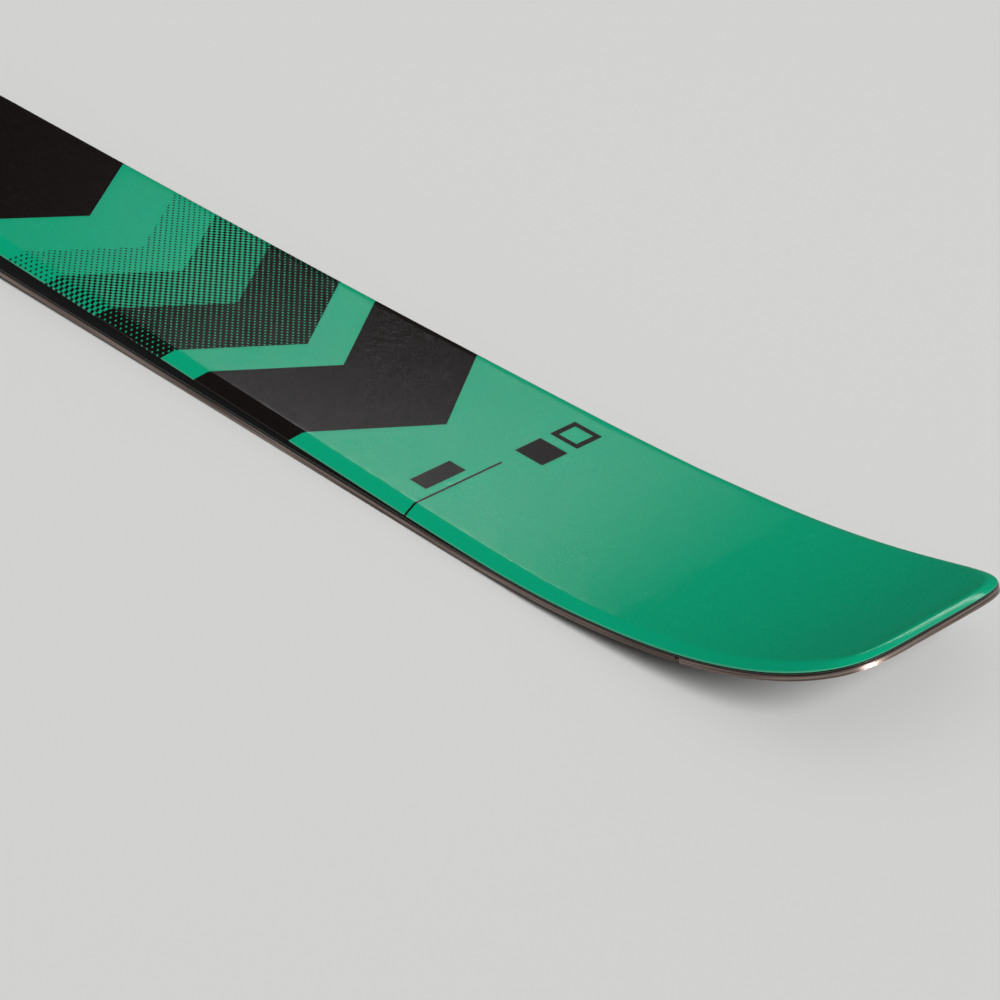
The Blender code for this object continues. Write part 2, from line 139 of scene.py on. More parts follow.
# Camera, solved from the photograph, which is 1000 pixels wide.
CAMERA_AIM = Vector((0.65162, -0.01365, 0.0))
CAMERA_DISTANCE = 1.48022
CAMERA_AZIMUTH = 40.7477
CAMERA_ELEVATION = 31.1943
CAMERA_ROLL = 5.3497
CAMERA_LENS = 146.14
SENSOR = 36.0


def srgb(red, green, blue):
    """Linear colour of a screen colour given from 0 to 255."""
    linear = []
    for value in (red, green, blue):
        c = value / 255
        linear.append(c / 12.92 if c <= 0.04045 else ((c + 0.055) / 1.055) ** 2.4)
    return (*linear, 1.0)


def mould(x):
    """Height and slope of the base curve at x."""
    contact = LENGTH / 2 - RISE_LENGTH
    rise = np.clip((np.abs(x) - contact) / RISE_LENGTH, 0, None)
    arch = np.clip(x / contact, -1, 1)
    height = TIP_RISE * rise ** RISE_POWER + CAMBER * (1 - arch * arch) ** 2
    slope = TIP_RISE * RISE_POWER * rise ** (RISE_POWER - 1) / RISE_LENGTH * np.sign(x)
    return height, slope - 4 * CAMBER * arch * (1 - arch * arch) / contact


CURVE_X = np.linspace(-LENGTH / 2, LENGTH / 2, DENSE_SAMPLES)
CURVE_RUN = np.hypot(1, mould((CURVE_X[1:] + CURVE_X[:-1]) / 2)[1])
CURVE_S = np.concatenate([[0], np.cumsum(CURVE_RUN * np.diff(CURVE_X))])
CURVE_S = CURVE_S - CURVE_S[-1] / 2

END = float(CURVE_S[-1])
WIDEST = END - SHOVEL_LENGTH
JOINT = END - EDGE_JOINT_SETBACK
CORE_END = END - SPACER_LENGTH
FOIL_END = END - FOIL_SETBACK
TAPER_OUTER = END - TIP_EVEN
TAPER_INNER = TAPER_OUTER - TAPER_LENGTH


def bend(blank):
    """World points of the blank's points (s, y, t), an array with three columns."""
    s, y, t = blank.T
    x = np.interp(s, CURVE_S, CURVE_X)
    z, slope = mould(x)
    run = np.hypot(1, slope)
    return np.stack([x - t * slope / run, y, z + t / run], axis=1)


def half_width(s):
    """Half the width over the steel edges between the widest points, and its slope."""
    out = np.abs(s)
    depth = (TIP_WIDTH - WAIST_WIDTH) / 2
    eased = WIDEST - SHOVEL_BLEND
    bow = depth / (eased * WIDEST)
    over = np.clip(out - eased, 0, None)
    inner = np.minimum(out, eased)
    width = WAIST_WIDTH / 2 + bow * inner ** 2 + 2 * bow * eased * (over - over ** 2 / (2 * SHOVEL_BLEND))
    slope = np.where(over > 0, 2 * bow * eased * (1 - over / SHOVEL_BLEND), 2 * bow * inner)
    return width, slope * np.sign(s)


# Outline rows are (s, y, normal along, normal across); these mirror them, or cut them square.
OTHER_SIDE = (1, -1, 1, -1)
OTHER_END = (-1, 1, -1, 1)
SQUARE_CUT = (0.0, -1.0)


def dense_outline():
    """Outline on the +Y side from tail to tip, as rows of (s, y, normal along, normal across)."""
    s = np.linspace(-WIDEST, WIDEST, DENSE_SAMPLES)
    width, slope = half_width(s)
    size = np.hypot(slope, 1)
    body = np.stack([s, width, slope / size, -1 / size], axis=1)
    angle = np.linspace(0, np.pi / 2, DENSE_SAMPLES)[1:]
    along = np.sin(angle) ** (2 / SQUARE_ALONG)
    across = np.clip(np.cos(angle), 0, None) ** (2 / SQUARE_ACROSS)
    across[-1] = 0
    down = SQUARE_ALONG * along ** (SQUARE_ALONG - 1) / SHOVEL_LENGTH
    side = SQUARE_ACROSS * across ** (SQUARE_ACROSS - 1) / (TIP_WIDTH / 2)
    size = np.hypot(down, side)
    nose = np.stack([WIDEST + SHOVEL_LENGTH * along, TIP_WIDTH / 2 * across,
                     -down / size, -side / size], axis=1)
    tail = nose[::-1] * OTHER_END
    return np.concatenate([tail, body, nose])


DENSE = dense_outline()
DENSE_MARKS = np.concatenate([[0], np.cumsum(np.hypot(*np.diff(DENSE[:, :2], axis=0).T))])


def outline_at(marks):
    """Outline rows at the given lengths along it."""
    rows = np.stack([np.interp(marks, DENSE_MARKS, column) for column in DENSE.T], axis=1)
    rows[:, 2:] /= np.hypot(rows[:, 2], rows[:, 3])[:, None]
    return rows


def mark_of(s):
    """Length along the outline at station s."""
    return float(np.interp(s, DENSE[:, 0], DENSE_MARKS))


def spread(low, high, step):
    """Even marks from low to high, both included."""
    return np.linspace(low, high, max(1, math.ceil((high - low) / step)) + 1)


def outline_between(low, high):
    """Fine outline rows from station low to high, finer in the shovels."""
    bounds = [low] + [s for s in (-WIDEST, WIDEST) if low < s < high] + [high]
    marks = []
    for first, last in zip(bounds, bounds[1:]):
        nose = abs(first + last) / 2 > WIDEST
        marks.append(spread(mark_of(first), mark_of(last), NOSE_STEP if nose else LONG_STEP))
    return outline_at(np.unique(np.concatenate(marks)))


def thickness(s):
    share = (TAPER_OUTER - np.abs(s)) / (TAPER_OUTER - TAPER_INNER)
    return TIP_THICKNESS + (CENTRE_THICKNESS - TIP_THICKNESS) * np.clip(share, 0, 1)


def wall_inset(t):
    """How far the slanted outer wall stands in from the steel edge at height t."""
    return np.clip(t - EDGE_HEIGHT, 0, None) * math.tan(math.radians(SIDEWALL_SLANT))


def laminate_foot(s):
    share = (FOIL_END + GLUE + FOIL_RAMP - np.abs(s)) / FOIL_RAMP
    return EDGE_HEIGHT + BOND + (FOIL + BOND) * np.clip(share, 0, 1)


def core_bottom(s):
    return laminate_foot(s) + LOWER_LAMINATE + BOND


def core_top(s):
    return thickness(s) - TOPSHEET - UPPER_LAMINATE - 2 * BOND


def lip_height(s):
    return np.maximum(thickness(s) - BEVEL_DROP, core_bottom(s) + TOPSHEET_LIP)


def crest_inset(s):
    return wall_inset(lip_height(s)) + BEVEL_WIDTH


def lip_under(s):
    low = lip_height(s) - TOPSHEET_LIP
    return wall_inset(low), low


def under_slope(s):
    inset, low = lip_under(s)
    return (thickness(s) - TOPSHEET - low) / (crest_inset(s) - inset)


def foot_setback(s):
    low = lip_under(s)[1]
    return np.clip(core_bottom(s) + FOOT_HEIGHT + BOND - low, 0, None) / under_slope(s)


def foot_low(s):
    return wall_inset(core_bottom(s)) + foot_setback(s), core_bottom(s)


def foot_high(s):
    inset, low = lip_under(s)
    back = foot_setback(s)
    return inset + back, low + back * under_slope(s) - BOND


def shoulder(s):
    inset, low = lip_under(s)
    return inset + (core_top(s) + BOND - low) / under_slope(s), core_top(s)


def at(s, corner):
    """A corner (inset, height), of numbers, arrays or one function, as an array of rows."""
    inset, height = corner(s) if callable(corner) else corner
    return np.stack([np.broadcast_to(inset, s.shape), np.broadcast_to(height, s.shape)], axis=1)


def rounded(corners, rounds, closed):
    """Profile with its corners rounded. rounds gives (length, steps) for each corner, or None."""
    rows = []
    count = len(corners)
    for k, point in enumerate(corners):
        ends = not closed and k in (0, count - 1)
        if ends or rounds[k] is None:
            rows.append(point)
            continue
        length, steps = rounds[k]
        before = corners[k - 1] - point
        after = corners[(k + 1) % count] - point
        reach_before = np.linalg.norm(before, axis=1, keepdims=True)
        reach_after = np.linalg.norm(after, axis=1, keepdims=True)
        cut = np.minimum(length, np.minimum(reach_before, reach_after) * ROUND_SHARE)
        start = point + before / reach_before * cut
        stop = point + after / reach_after * cut
        for step in range(steps + 1):
            u = step / steps
            rows.append(start * (1 - u) ** 2 + point * 2 * u * (1 - u) + stop * u ** 2)
    return np.stack(rows, axis=1)


def blank_rows(outline, profile, side=1):
    """Blank points of a profile of (inset, height) carried along the outline."""
    inset = profile[:, :, 0]
    s = outline[:, 0:1] + inset * outline[:, 2:3]
    y = np.clip(outline[:, 1:2] + inset * outline[:, 3:4], 0, None)
    return np.stack([s, side * y, profile[:, :, 1]], axis=2)


def make_mesh(name, blank, faces, uv, attributes=()):
    """Object from blank points, with its UV map and point attributes, merged and faced out."""
    mesh = bpy.data.meshes.new(name)
    mesh.from_pydata([tuple(p) for p in bend(blank)], [], faces)
    layer = mesh.uv_layers.new(name="blank")
    loops = np.zeros(len(mesh.loops), np.int32)
    mesh.loops.foreach_get("vertex_index", loops)
    layer.data.foreach_set("uv", np.asarray(uv, np.float32)[loops].ravel())
    for key, values in attributes:
        field = mesh.attributes.new(key, "FLOAT", "POINT")
        field.data.foreach_set("value", np.asarray(values, np.float32))
    bm = bmesh.new()
    bm.from_mesh(mesh)
    bmesh.ops.remove_doubles(bm, verts=bm.verts, dist=WELD)
    bmesh.ops.dissolve_degenerate(bm, dist=WELD, edges=bm.edges)
    bmesh.ops.recalc_face_normals(bm, faces=bm.faces)
    bm.to_mesh(mesh)
    bm.free()
    mesh.shade_smooth()
    mesh.set_sharp_from_angle(angle=math.radians(SHARP_ANGLE))
    piece = bpy.data.objects.new(name, mesh)
    bpy.context.scene.collection.objects.link(piece)
    return piece


def ring_faces(rows, columns, caps):
    """Quads round closed sections of equally many corners, with caps if wanted."""
    faces = []
    for i in range(rows - 1):
        for j in range(columns):
            k = (j + 1) % columns
            faces.append((i * columns + j, i * columns + k, (i + 1) * columns + k, (i + 1) * columns + j))
    if caps:
        faces.append(tuple(range(columns)))
        faces.append(tuple((rows - 1) * columns + j for j in range(columns)))
    return faces


def plate(name, outline, corners, rounds, fields=(), caps=False):
    """Layer over the whole width. corners run from the underside up, on one side.

    fields are the names and functions of the values that the material reads at each point.
    """
    s = outline[:, 0]
    profile = rounded([at(s, c) for c in corners], rounds, closed=False)
    right = blank_rows(outline, profile)
    left = (right * (1, -1, 1))[:, ::-1]
    blank = np.concatenate([right, left], axis=1)
    rows, columns = blank.shape[:2]
    flat = blank.reshape(-1, 3)
    values = [(key, field(profile, outline)) for key, field in fields]
    attributes = [(key, np.concatenate([v, v[:, ::-1]], axis=1).ravel()) for key, v in values]
    return make_mesh(name, flat, ring_faces(rows, columns, caps), flat[:, :2], attributes)


def bar(name, outline, corners, rounds, side):
    """Strip along one side, with a closed profile."""
    s = outline[:, 0]
    profile = rounded([at(s, c) for c in corners], rounds, closed=True)
    blank = blank_rows(outline, profile, side)
    rows, columns = blank.shape[:2]
    flat = blank.reshape(-1, 3)
    across = (profile[:, :, 1] - profile[:, :, 0]).ravel()
    uv = np.stack([flat[:, 0], across], axis=1)
    return make_mesh(name, flat, ring_faces(rows, columns, True), uv)


def dress(piece, material, slot, *nodes):
    """Give a piece its material (slot is not used), let it ride on the ski and stand for its solids."""
    piece.data.materials.clear()
    piece.data.materials.append(material)
    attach(piece, "root")
    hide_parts(*nodes)


def whole_outline():
    return outline_between(-END, END)


def nose_share(s):
    """How much of the ends' own bevel a station has, easing from 0 to 1."""
    share = np.clip((np.abs(s) - END) / NOSE_BLEND + 1, 0, 1)
    return share * share * (3 - 2 * share)


def film_crest(s):
    """Inset of the film's crest, which draws nearer to the rim across both ends."""
    return crest_inset(s) - (BEVEL_WIDTH - NOSE_BEVEL_WIDTH) * nose_share(s)


def film_top(s):
    return thickness(s) - NOSE_DIP * nose_share(s)


def film_lip(s):
    return lip_height(s) - NOSE_LIP_DIP * nose_share(s)


def film_under(s):
    return thickness(s) - TOPSHEET - NOSE_UNDER_DIP * nose_share(s)


def make_topsheet(material):
    """Film with a rounded crest over the shoulder and a cut lip on the sidewall.

    Its points carry two values for the material: shoulder, which rises from 0 on the flat to 1 on
    the bevel, and lift, the height above the lip, which places the painted highlight along the lip.
    """
    def under_top(s):
        return crest_inset(s) + CREST_ROUND + TOP_MARGIN, film_under(s)

    def under_crest(s):
        return crest_inset(s), film_under(s)

    def lip(s):
        return wall_inset(film_lip(s)), film_lip(s)

    def crest(s):
        return film_crest(s), film_top(s)

    def top(s):
        return film_crest(s) + CREST_ROUND + TOP_MARGIN, film_top(s)

    corners = [under_top, under_crest, lip_under, lip, crest, top]
    small = (LIP_ROUND, SMALL_STEPS)
    rounds = [None, None, small, small, (CREST_ROUND, CREST_STEPS), None]

    def shares(profile, outline):
        inset = film_crest(outline[:, 0])[:, None]
        return np.clip((inset + CREST_ROUND - profile[:, :, 0]) / (2 * CREST_ROUND), 0, 1)

    def lifts(profile, outline):
        return (profile[:, :, 1] - film_lip(outline[:, 0])[:, None]) / RIM_SCALE

    piece = plate("printed_topsheet", whole_outline(), corners, rounds,
                  (("shoulder", shares), ("lift", lifts)))
    dress(piece, material, "topsheet", "topsheet")


def make_base(material):
    inset = BEAD_WIDTH + GLUE
    corners = [(inset + TOP_MARGIN, 0.0), (inset, 0.0), (inset, BASE_SHEET)]
    rounds = [None, (PLATE_ROUND, SMALL_STEPS), None]
    dress(plate("running_base", whole_outline(), corners, rounds), material, "base", "base")


def make_lower_laminate(material):
    key = TANG_REACH + GLUE

    def outer_low(s):
        return wall_inset(laminate_foot(s)), laminate_foot(s)

    def outer_high(s):
        height = laminate_foot(s) + LOWER_LAMINATE
        return wall_inset(height), height

    corners = [(key, EDGE_HEIGHT + BOND), lambda s: (key, laminate_foot(s)), outer_low, outer_high]
    piece = plate("glass_ply_lower", whole_outline(), corners, [None] * 4)
    dress(piece, material, "laminate", "lower_laminate")


def make_spacer(name, node, end, material):
    outline = outline_between(CORE_END + GLUE, END)
    outline[0, 2:] = SQUARE_CUT
    if end < 0:
        outline = outline[::-1] * OTHER_END
    rounds = [None, (WALL_ROUND, SMALL_STEPS), None]
    piece = plate(name, outline, [foot_low, foot_high, shoulder], rounds, caps=True)
    dress(piece, material, "spacer", node)


def make_sidewall(name, node, side, material):
    corners = [foot_low, lambda s: (SIDEWALL_WIDTH, core_bottom(s)),
               lambda s: (SIDEWALL_WIDTH, core_top(s)), shoulder, foot_high]
    small = (WALL_ROUND, SMALL_STEPS)
    piece = bar(name, outline_between(-CORE_END, CORE_END), corners, [small, None, None, None, small], side)
    dress(piece, material, "sidewall", node)


def make_foil(name, node, side, material):
    low = EDGE_HEIGHT + BOND
    outer = wall_inset(low)
    corners = [(outer, low), (TANG_REACH, low), (TANG_REACH, low + FOIL), (outer, low + FOIL)]
    piece = bar(name, outline_between(-FOIL_END, FOIL_END), corners, [None] * 4, side)
    dress(piece, material, "foil", node)


def tooth_outline(start, stop, chords):
    """Free edge of the tang over one tooth, as (length, inset), from stop back to start."""
    root = BEAD_WIDTH + TANG_ROOT
    neck = root + TANG_NECK
    key = KEY_WIDTH / 2
    slot = SLOT_WIDTH / 2
    side = [(0, root), (key, root), (key, neck), (slot, neck), (slot, TANG_REACH)]
    far = [(stop - u, inset) for u, inset in side]
    front = [(stop - slot + (start - stop + 2 * slot) * k / chords, TANG_REACH) for k in range(1, chords)]
    near = [(start + u, inset) for u, inset in reversed(side)]
    return far + front + near


def bead_rows():
    """Outer profile of the steel bead, from its sharp running edge up over the rounded top."""
    rows = [(0.0, 0.0), (0.0, EDGE_HEIGHT - BEAD_ROUND)]
    for step in range(1, BEAD_ROUND_STEPS + 1):
        turn = math.pi / 2 * step / BEAD_ROUND_STEPS
        rows.append((BEAD_ROUND * (1 - math.cos(turn)), EDGE_HEIGHT - BEAD_ROUND * (1 - math.sin(turn))))
    return rows


def make_edge(name, node, path, pitch, chords, material):
    """Steel edge along a path of outline rows: rounded bead and toothed tang in one piece."""
    marks = np.concatenate([[0], np.cumsum(np.hypot(*np.diff(path[:, :2], axis=0).T))])
    length = float(marks[-1])
    teeth = max(1, round(length / pitch))
    under = EDGE_HEIGHT - TANG_THICKNESS
    points = []
    faces = []

    def row(corners):
        points.extend(corners)
        return list(range(len(points) - len(corners), len(points)))

    def strip(first, second):
        for a, b, c, d in zip(first, first[1:], second[1:], second):
            faces.append((a, b, c, d))

    for tooth in range(teeth):
        start = length * tooth / teeth
        stop = length * (tooth + 1) / teeth
        lengths = np.linspace(start, stop, chords + 1)
        outer = [row([(u, inset, t) for u in lengths]) for inset, t in bead_rows()]
        inner_low = row([(u, BEAD_WIDTH, 0.0) for u in lengths])
        inner_high = row([(u, BEAD_WIDTH, under) for u in lengths])
        free = tooth_outline(start, stop, chords)
        top = row([(u, inset, EDGE_HEIGHT) for u, inset in free])
        bottom = row([(u, inset, under) for u, inset in free])
        for low, high in zip(outer, outer[1:]):
            strip(low, high)
        strip(inner_low, outer[0])
        strip(inner_high, inner_low)
        strip(top, bottom)
        faces.append(tuple(outer[-1] + top))
        faces.append(tuple(inner_high + bottom))
        if tooth == 0:
            faces.append(tuple([r[0] for r in outer] + [top[-1], bottom[-1], inner_high[0], inner_low[0]]))
        if tooth == teeth - 1:
            faces.append(tuple([r[-1] for r in outer] + [top[0], bottom[0], inner_high[-1], inner_low[-1]]))
    table = np.array(points)
    rows = np.stack([np.interp(table[:, 0], marks, column) for column in path.T], axis=1)
    size = np.hypot(rows[:, 2], rows[:, 3])
    blank = np.stack([rows[:, 0] + table[:, 1] * rows[:, 2] / size,
                      rows[:, 1] + table[:, 1] * rows[:, 3] / size, table[:, 2]], axis=1)
    uv = np.stack([table[:, 0], table[:, 2] - table[:, 1]], axis=1)
    dress(make_mesh(name, blank, faces, uv), material, "edge", node)


def make_edges(material):
    reach = JOINT - EDGE_JOINT_GAP / 2
    long_side = outline_between(-reach, reach)
    nose = outline_between(JOINT + EDGE_JOINT_GAP / 2, END)
    around = np.concatenate([nose, nose[-2::-1] * OTHER_SIDE])
    for side, path in (("left", long_side), ("right", long_side * OTHER_SIDE)):
        make_edge(f"ground_edge_{side}", f"edge_{side}", path, TANG_PITCH, SIDE_CHORDS, material)
    for end, path in (("tip", around), ("tail", around * OTHER_END)):
        make_edge(f"ground_edge_{end}", f"edge_{end}", path, TIP_TANG_PITCH, NOSE_CHORDS, material)


class Shader:
    """Builds one procedural material. Inputs are sockets, numbers or colours."""

    def __init__(self, name, roughness, metallic=0.0, specular=0.5):
        self.material = bpy.data.materials.new(name)
        self.material.use_nodes = True
        self.tree = self.material.node_tree
        self.out = self.tree.nodes["Principled BSDF"]
        self.out.inputs["Metallic"].default_value = metallic
        self.out.inputs["Roughness"].default_value = roughness
        self.out.inputs["Specular IOR Level"].default_value = specular

    def node(self, kind, **settings):
        made = self.tree.nodes.new(kind)
        for key, value in settings.items():
            setattr(made, key, value)
        return made

    def feed(self, socket, value):
        if isinstance(value, bpy.types.NodeSocket):
            self.tree.links.new(value, socket)
        else:
            socket.default_value = value

    def math(self, operation, *values):
        made = self.node("ShaderNodeMath", operation=operation)
        for socket, value in zip(made.inputs, values):
            self.feed(socket, value)
        return made.outputs[0]

    def line(self, value, slope, start):
        return self.math("MULTIPLY_ADD", value, slope, start)

    def contrast(self, value, gain, middle=0.5):
        """Value spread about 0.5 by a gain, and moved to a new middle."""
        return self.line(self.math("SUBTRACT", value, 0.5), gain, middle)

    def clamp(self, value):
        made = self.node("ShaderNodeClamp")
        self.feed(made.inputs[0], value)
        return made.outputs[0]

    def mix(self, share, first, second, blend="MIX"):
        made = self.node("ShaderNodeMix", data_type="RGBA", blend_type=blend)
        self.feed(made.inputs[0], share)
        self.feed(made.inputs[6], first)
        self.feed(made.inputs[7], second)
        return made.outputs[2]

    def steps(self, value, stops):
        """Level that jumps to a new grey at each stop."""
        made = self.node("ShaderNodeValToRGB")
        band = made.color_ramp
        band.interpolation = "CONSTANT"
        while len(band.elements) < len(stops):
            band.elements.new(1.0)
        for element, (place, level) in zip(band.elements, stops):
            element.position = place
            element.color = (level, level, level, 1.0)
        self.feed(made.inputs[0], value)
        return made.outputs[0]

    def split(self, vector):
        made = self.node("ShaderNodeSeparateXYZ")
        self.feed(made.inputs[0], vector)
        return made.outputs

    def join(self, *values):
        made = self.node("ShaderNodeCombineXYZ")
        for socket, value in zip(made.inputs, values):
            self.feed(socket, value)
        return made.outputs[0]

    def scaled(self, vector, factors):
        made = self.node("ShaderNodeVectorMath", operation="MULTIPLY")
        self.feed(made.inputs[0], vector)
        self.feed(made.inputs[1], factors)
        return made.outputs[0]

    def noise(self, vector, scale=1.0, detail=2.0, roughness=0.5):
        made = self.node("ShaderNodeTexNoise")
        self.feed(made.inputs["Vector"], vector)
        made.inputs["Scale"].default_value = scale
        made.inputs["Detail"].default_value = detail
        made.inputs["Roughness"].default_value = roughness
        return made.outputs[0]

    def blank(self):
        return self.node("ShaderNodeUVMap", uv_map="blank").outputs[0]

    def place(self):
        return self.node("ShaderNodeTexCoord").outputs["Object"]

    def attribute(self, name):
        return self.node("ShaderNodeAttribute", attribute_name=name).outputs["Fac"]

    def bump(self, height, depth):
        made = self.node("ShaderNodeBump")
        made.inputs["Distance"].default_value = depth
        self.feed(made.inputs["Height"], height)
        return made.outputs[0]

    def finish(self, colour, normal, roughness):
        self.feed(self.out.inputs["Base Color"], colour)
        self.feed(self.out.inputs["Normal"], normal)
        self.feed(self.out.inputs["Roughness"], roughness)
        return self.material


# Film and print.
GREEN = srgb(12, 160, 119)
GREEN_DEEP = srgb(0, 141, 101)
GREEN_CLOUD = srgb(8, 161, 121)
# Painted highlight along the film's cut lip, over the green.
RIM_HIGHLIGHT_GREEN = srgb(96, 160, 134)
INK = srgb(28, 22, 22)
INK_DEEP = srgb(9, 6, 6)
# Painted highlight along the film's cut lip, over the ink.
RIM_HIGHLIGHT_INK = srgb(58, 54, 53)
FILM_COAT = 0.045
INK_COAT = 0.026
COAT_ROUGHNESS = 0.1
FILM_RELIEF = 0.00008      # depth of weave and grain
SHOULDER_FADE = -2.2       # how soon the relief ends on the way to the bevel
RIM_HIGHLIGHT_FADE = -6.0            # how soon the painted highlight on the lip's cut edge ends on the way up

# Chevron bands: each begins at its distance from the end, on the centre line, with its share of ink.
CHEVRON_SLOPE = 0.62
SCREEN_PITCH = 0.0030
PRINT_BANDS = ((0.0, 0.0), (0.232, 1.0), (0.288, 0.0), (0.306, 0.78), (0.346, 0.52), (0.378, 0.3),
               (0.402, 0.0), (0.432, 1.0), (0.512, 0.0), (0.526, 0.34), (0.556, 0.56), (0.590, 0.8),
               (0.622, 0.0), (0.654, 1.0), (0.712, 0.6), (0.742, 0.0), (0.770, 1.0))

# Plain marks: distance from the end, place across, length along the ski and width across it.
RULE_SETBACK = 0.203
SQUARE_SETBACK = 0.199
MARKS = ((RULE_SETBACK, -0.033, 0.0010, 0.060),
         (RULE_SETBACK + 0.0085, -0.028, 0.0085, 0.021),
         (SQUARE_SETBACK, 0.014, 0.014, 0.014),
         (SQUARE_SETBACK, 0.033, 0.014, 0.014))
HOLLOW = (SQUARE_SETBACK, 0.033, 0.009, 0.009)


def print_mask(m, s, y):
    """Ink over film: chevron bands with screened tints, a fine rule and three plain blocks."""
    from_end = m.math("SUBTRACT", END, m.math("ABSOLUTE", s))
    level = m.math("SUBTRACT", from_end, m.math("MULTIPLY", m.math("ABSOLUTE", y), CHEVRON_SLOPE))
    tint = m.steps(level, PRINT_BANDS)
    first = m.math("FRACT", m.math("DIVIDE", m.math("ADD", s, y), SCREEN_PITCH))
    second = m.math("FRACT", m.math("DIVIDE", m.math("SUBTRACT", s, y), SCREEN_PITCH))
    dot = m.math("ADD", m.math("ABSOLUTE", m.math("SUBTRACT", first, 0.5)),
                 m.math("ABSOLUTE", m.math("SUBTRACT", second, 0.5)))
    ink = m.math("GREATER_THAN", tint, dot)
    turned = m.math("MULTIPLY", y, m.math("SIGN", s))

    def block(centre, middle, long, wide):
        along = m.math("SUBTRACT", long / 2, m.math("ABSOLUTE", m.math("SUBTRACT", from_end, centre)))
        across = m.math("SUBTRACT", wide / 2, m.math("ABSOLUTE", m.math("SUBTRACT", turned, middle)))
        return m.math("GREATER_THAN", m.math("MINIMUM", along, across), 0.0)

    for mark in MARKS:
        ink = m.math("MAXIMUM", ink, block(*mark))
    return m.math("MULTIPLY", ink, m.math("SUBTRACT", 1.0, block(*HOLLOW)))


def topsheet_material():
    """Printed film with a fine woven grain under a thin coat, smooth on the shoulder."""
    m = Shader("printed_film", roughness=0.4, specular=0.0)
    s, y, _ = m.split(m.blank())
    flat = m.join(s, y, 0.0)
    ink = print_mask(m, s, y)
    bias = m.join(m.math("ADD", s, y), m.math("SUBTRACT", s, y), 0.0)
    warp = m.noise(m.scaled(bias, (120.0, 1600.0, 1.0)), detail=1.0)
    weft = m.noise(m.scaled(bias, (1600.0, 120.0, 1.0)), detail=1.0)
    grain = m.noise(flat, scale=2000.0, detail=0.0)
    cloud = m.noise(flat, scale=14.0, detail=3.0)
    weave = m.math("MULTIPLY", m.math("ADD", warp, weft), 0.5)
    shade = m.math("ADD", m.math("MULTIPLY", weave, 0.5), m.math("MULTIPLY", grain, 0.5))
    shoulder = m.attribute("shoulder")
    level = m.clamp(m.line(shoulder, SHOULDER_FADE, 1.0))
    # Painted highlight: a paler colour on the lip's cut edge that fades out just above the lip.
    rim = m.math("MULTIPLY", m.clamp(m.line(m.attribute("lift"), RIM_HIGHLIGHT_FADE, 1.0)), 0.5)

    gain = m.line(ink, 1.0, m.line(level, slope=2.0, start=0.4))
    tone = m.clamp(m.contrast(shade, gain))
    green = m.mix(tone, GREEN_DEEP, GREEN)
    green = m.mix(m.math("MULTIPLY", cloud, 0.16), green, GREEN_CLOUD)
    green = m.mix(rim, green, RIM_HIGHLIGHT_GREEN)
    black = m.mix(rim, m.mix(tone, INK_DEEP, INK), RIM_HIGHLIGHT_INK)
    film = m.mix(ink, green, black)

    roughness = m.line(m.math("SUBTRACT", 1.0, shoulder), slope=0.10, start=0.13)
    roughness = m.line(ink, 0.16, roughness)
    roughness = m.math("ADD", roughness, m.contrast(grain, 0.10, 0.0))
    height = m.math("MULTIPLY", m.line(level, slope=0.96, start=0.04), shade)
    height = m.math("MULTIPLY", height, m.line(ink, slope=-0.4, start=1.0))
    relief = m.bump(height, FILM_RELIEF)
    coat = m.math("MULTIPLY", m.contrast(shade, 3.0, 1.0), m.line(ink, INK_COAT - FILM_COAT, FILM_COAT))
    m.feed(m.out.inputs["Coat Weight"], coat)
    m.feed(m.out.inputs["Coat Roughness"], COAT_ROUGHNESS)
    m.feed(m.out.inputs["Coat Normal"], relief)
    return m.finish(film, relief, roughness)


def sidewall_material():
    """Polished black plastic with faint milling lines along the wall."""
    m = Shader("black_sidewall", roughness=0.2, specular=0.06)
    lines = m.noise(m.scaled(m.blank(), (12.0, 3000.0, 1.0)), detail=4.0)
    specks = m.noise(m.place(), scale=900.0)
    colour = m.mix(lines, srgb(7, 7, 8), srgb(14, 14, 15))
    height = m.math("ADD", m.math("MULTIPLY", lines, 0.8), m.math("MULTIPLY", specks, 0.2))
    return m.finish(colour, m.bump(height, depth=0.00002), m.line(lines, slope=0.16, start=0.12))


def steel_material():
    """Steel ground lengthwise, with scratches and faint stains."""
    m = Shader("ground_steel", roughness=0.3, metallic=1.0)
    blank = m.blank()
    grind = m.noise(m.scaled(blank, (40.0, 16000.0, 1.0)), detail=5.0, roughness=0.7)
    scratches = m.noise(m.scaled(blank, (220.0, 5000.0, 1.0)), detail=3.0)
    stain = m.noise(m.scaled(blank, (25.0, 60.0, 1.0)), detail=3.0)
    streaks = m.noise(m.scaled(blank, (14.0, 1500.0, 1.0)))
    colour = m.mix(m.clamp(m.contrast(streaks, 4.0)), srgb(76, 65, 61), srgb(166, 150, 141))
    colour = m.mix(m.math("MULTIPLY", grind, 0.4), colour, srgb(120, 109, 102))
    colour = m.mix(m.clamp(m.line(stain, slope=1.4, start=-0.45)), colour, srgb(92, 74, 67))
    return m.finish(colour, m.bump(grind, depth=0.00002), m.line(scratches, slope=0.22, start=0.2))


def base_material():
    """Black running sheet, stone ground along the ski with a finer crossing pass."""
    m = Shader("running_base", roughness=0.4)
    s, y, _ = m.split(m.blank())
    lines = m.noise(m.join(m.math("MULTIPLY", s, 60.0), m.math("MULTIPLY", y, 2600.0), 0.0), detail=3.0)
    turned = m.join(m.math("MULTIPLY", m.math("ADD", s, y), 90.0),
                    m.math("MULTIPLY", m.math("SUBTRACT", y, m.math("MULTIPLY", s, 0.2)), 1500.0), 0.0)
    cross = m.noise(turned)
    wax = m.noise(m.join(s, y, 0.0), scale=30.0, detail=4.0)
    height = m.math("ADD", m.math("MULTIPLY", lines, 0.6), m.math("MULTIPLY", cross, 0.4))
    colour = m.mix(height, srgb(15, 15, 16), srgb(32, 32, 33))
    return m.finish(colour, m.bump(height, depth=0.00004), m.line(wax, slope=0.2, start=0.28))


